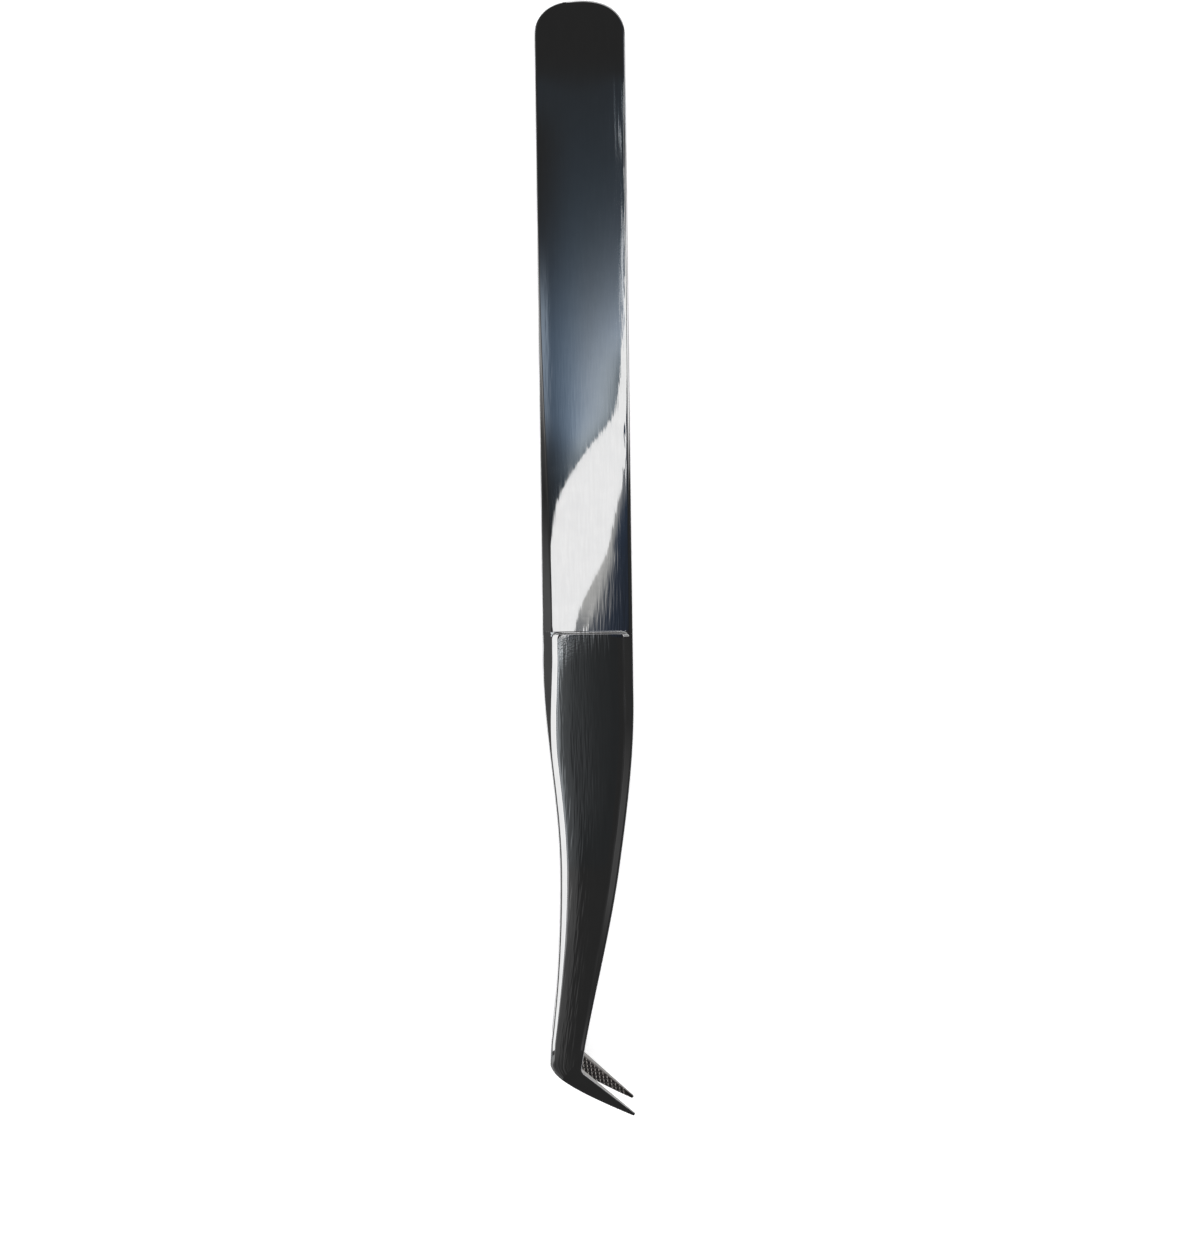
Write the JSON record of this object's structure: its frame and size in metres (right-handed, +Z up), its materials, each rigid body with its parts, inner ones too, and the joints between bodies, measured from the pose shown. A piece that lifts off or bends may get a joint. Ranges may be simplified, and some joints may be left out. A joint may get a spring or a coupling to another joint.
{
  "type": "boot-tip tweezers",
  "caption": "Boot-tip tweezers: mirrored dark steel arms joined at the tail by a welded wedge, with hollow-ground handles, raised flat grips and needle points turned sideways.",
  "frame": {"origin": "middle of the length and of the width, on the plane that the lower arm's grip and tail rest on", "axes": "+X across the arms, the way the points turn; +Y along the length, towards the tail; +Z up, across the gap between the arms"},
  "size_m": [0.01, 0.1242, 0.0116],
  "materials": {
    "arms": "polished gunmetal with fine lengthwise brushing",
    "wedge": "satin",
    "weld": "fused steel"
  },
  "bodies": {
    "tail": {"tail_wedge": "wedge", "spot_welds": "weld"},
    "upper": {"upper_arm": "arms"},
    "lower": {"lower_arm": "arms"}
  },
  "joints": [
    {"name": "upper_arm_bend", "type": "hinge", "parent": "tail", "child": "upper", "pos_m": [0, 0.04407, 0.00472], "axis": [1, 0, 0], "range_deg": [0, 1.39], "stiffness_Nm_per_rad": 4},
    {"name": "lower_arm_bend", "type": "hinge", "parent": "tail", "child": "lower", "pos_m": [0, 0.04392, 0.0009], "axis": [-1, 0, 0], "range_deg": [0, 1.39], "stiffness_Nm_per_rad": 4}
  ]
}
